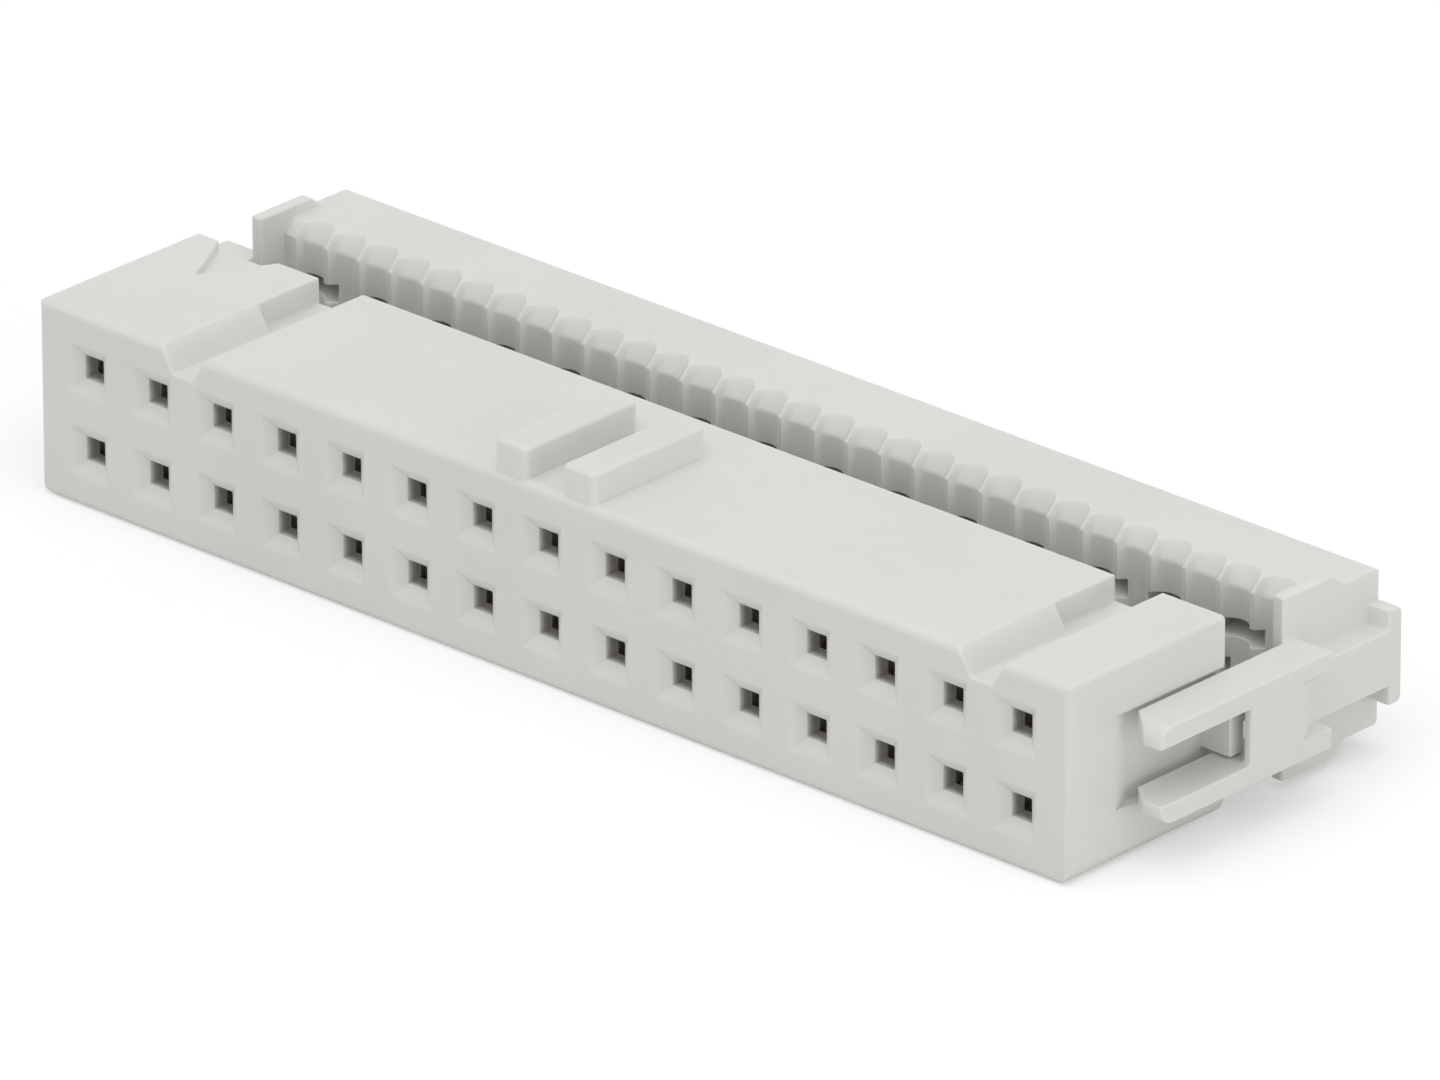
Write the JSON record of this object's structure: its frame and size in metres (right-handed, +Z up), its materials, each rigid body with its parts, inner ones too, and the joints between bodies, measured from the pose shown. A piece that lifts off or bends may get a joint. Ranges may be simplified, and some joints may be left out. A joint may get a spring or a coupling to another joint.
{
  "type": "ribbon cable socket",
  "caption": "Grey two-row insulation displacement socket for flat ribbon cable, with its press-on cover in the open position and a stamped contact in every position.",
  "frame": {"origin": "centre of the footprint on the lower face, cover open", "axes": "+X along the rows towards the last column, +Y from the mating face to the cable side, +Z up to the key"},
  "size_m": [0.0424, 0.013, 0.007],
  "materials": {
    "moulding": "matte",
    "contact": "satin"
  },
  "bodies": {
    "socket": {"housing": "moulding", "upper_contact_01": "contact", "upper_contact_02": "contact", "upper_contact_03": "contact", "upper_contact_04": "contact", "upper_contact_05": "contact", "upper_contact_06": "contact", "upper_contact_07": "contact", "upper_contact_08": "contact", "upper_contact_09": "contact", "upper_contact_10": "contact", "upper_contact_11": "contact", "upper_contact_12": "contact", "upper_contact_13": "contact", "upper_contact_14": "contact", "upper_contact_15": "contact", "lower_contact_01": "contact", "lower_contact_02": "contact", "lower_contact_03": "contact", "lower_contact_04": "contact", "lower_contact_05": "contact", "lower_contact_06": "contact", "lower_contact_07": "contact", "lower_contact_08": "contact", "lower_contact_09": "contact", "lower_contact_10": "contact", "lower_contact_11": "contact", "lower_contact_12": "contact", "lower_contact_13": "contact", "lower_contact_14": "contact", "lower_contact_15": "contact"},
    "press_cover": {"cover": "moulding"}
  },
  "joints": [
    {"name": "cover_press", "type": "slide", "parent": "socket", "child": "press_cover", "axis": [0, -1, 0], "range_m": [0, 0.0021]}
  ]
}
